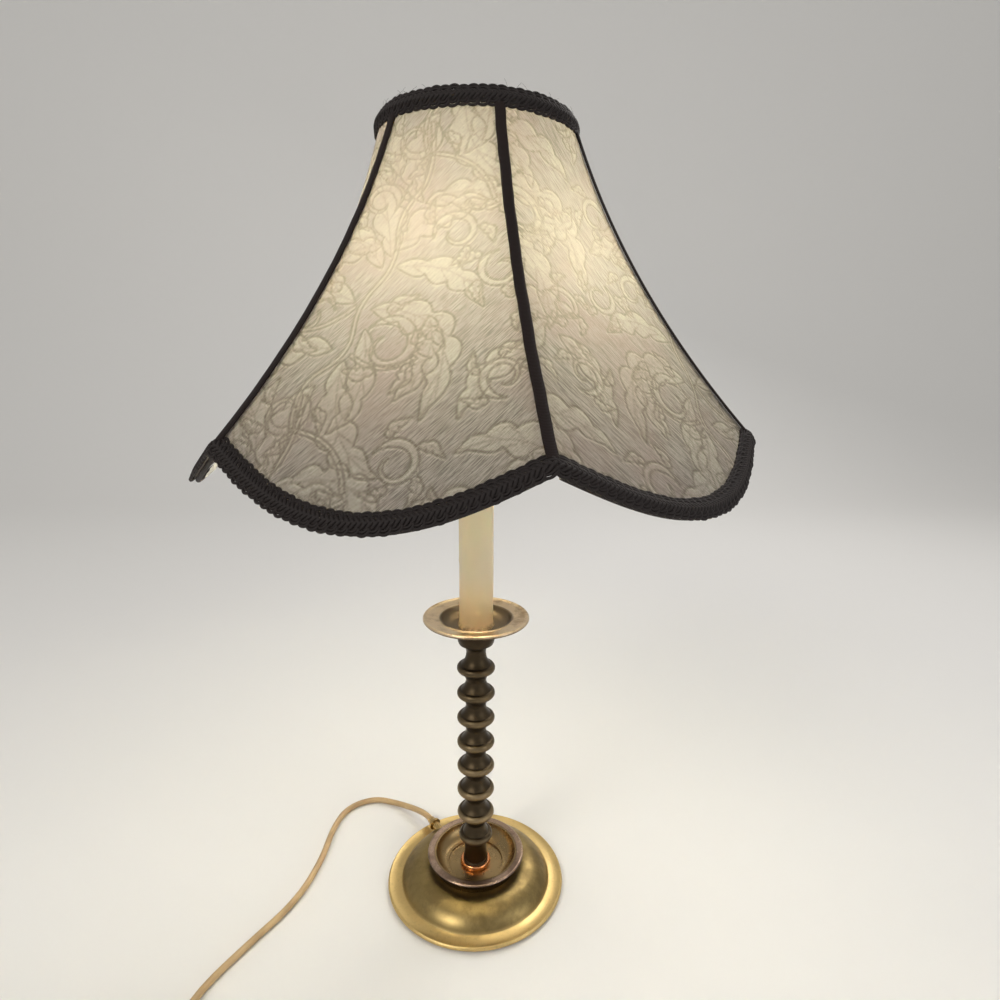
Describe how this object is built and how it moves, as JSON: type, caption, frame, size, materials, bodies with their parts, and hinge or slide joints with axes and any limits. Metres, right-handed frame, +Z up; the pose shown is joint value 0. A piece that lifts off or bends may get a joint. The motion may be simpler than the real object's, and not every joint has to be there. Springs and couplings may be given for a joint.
{
  "type": "candlestick lamp",
  "caption": "Table lamp: a turned brass candlestick with a dished base and drip pan, an ivory candle sleeve, a switched socket with bulb and harp, and a scalloped bell shade.",
  "frame": {"origin": "centre of the base's underside, on the table", "axes": "+Z up along the stem, -Y towards the lamp's front, the cord leaves at the back left"},
  "size_m": [0.4471, 0.4127, 0.5695],
  "materials": {
    "felt": "matt felt",
    "cast_iron": "as cast",
    "bright_brass": "satin polished, slightly aged",
    "rose_brass": "aged, pinkish rim",
    "copper": "copper plated",
    "plated_steel": "zinc plated",
    "aged_brass": "dark aged, rubbed on the beads",
    "pan_brass": "satin",
    "ivory": "waxy, slightly translucent",
    "frame_brass": "polished, lacquered",
    "socket_brass": "bright drawn",
    "card": "pressed fibre",
    "phenolic": "moulded, dark brown",
    "aluminium": "rolled thread",
    "contact_brass": "plain",
    "frosted_glass": "frosted white",
    "frame_wire": "enamelled wire",
    "damask": "tone-on-tone woven scrolls",
    "lining": "smooth white",
    "braid": "woven braid, very dark brown",
    "cord_skin": "smooth, dull gold",
    "tie": "thin flat strap",
    "plug_skin": "moulded, dull gold",
    "wire_skin": "smooth"
  },
  "bodies": {
    "stand": {"felt_pad": "felt", "base_weight": "cast_iron", "base_shell": "bright_brass", "base_cup": "rose_brass", "lock_collar": "copper", "threaded_stem": "plated_steel", "stem_nut": "plated_steel", "column": "aged_brass", "drip_pan": "pan_brass", "candle_sleeve": "ivory", "candle_cap": "aged_brass", "harp_saddle": "frame_brass", "harp": "frame_brass", "harp_stud": "frame_brass", "socket_cap": "socket_brass", "socket_shell": "socket_brass", "socket_liner": "card", "socket_body": "phenolic", "screw_shell": "aluminium", "centre_contact": "contact_brass", "cord_bushing": "cord_skin", "cord": "cord_skin", "cord_coil": "cord_skin", "cord_tail": "cord_skin", "coil_tie": "tie", "plug_body": "plug_skin", "plug_blades": "contact_brass", "supply_wires": "wire_skin"},
    "switch": {"switch_shaft": "contact_brass", "switch_knob": "phenolic"},
    "bulb": {"bulb_cap": "aluminium", "bulb_tip": "contact_brass", "bulb_glass": "frosted_glass"},
    "shade": {"cloth_panel_1": "damask", "cloth_panel_2": "damask", "cloth_panel_3": "damask", "cloth_panel_4": "damask", "cloth_panel_5": "damask", "cloth_panel_6": "damask", "lining": "lining", "top_ring": "frame_wire", "shade_spider": "frame_wire", "shade_ribs": "frame_wire", "edge_wire": "frame_wire", "seam_strips": "braid", "top_trim": "braid", "edge_trim": "braid"},
    "finial": {"finial": "bright_brass"},
    "left_ferrule": {"left_ferrule": "frame_brass"},
    "right_ferrule": {"right_ferrule": "frame_brass"}
  },
  "joints": [
    {"name": "switch_turn", "type": "hinge", "parent": "stand", "child": "switch", "pos_m": [0, -0.0215, 0.35195], "axis": [0, -1, 0], "continuous": true},
    {"name": "bulb_screw", "type": "hinge", "parent": "stand", "child": "bulb", "pos_m": [0, 0, 0.38], "axis": [0, 0, 1], "range_deg": [0, 900]},
    {"name": "shade_turn", "type": "hinge", "parent": "stand", "child": "shade", "pos_m": [0, 0, 0.5425], "axis": [0, 0, 1], "continuous": true},
    {"name": "finial_screw", "type": "hinge", "parent": "stand", "child": "finial", "pos_m": [0, 0, 0.548], "axis": [0, 0, 1], "range_deg": [0, 2880]},
    {"name": "left_ferrule_slide", "type": "slide", "parent": "stand", "child": "left_ferrule", "axis": [0, 0, 1], "range_m": [0, 0.014]},
    {"name": "right_ferrule_slide", "type": "slide", "parent": "stand", "child": "right_ferrule", "axis": [0, 0, 1], "range_m": [0, 0.014]}
  ]
}
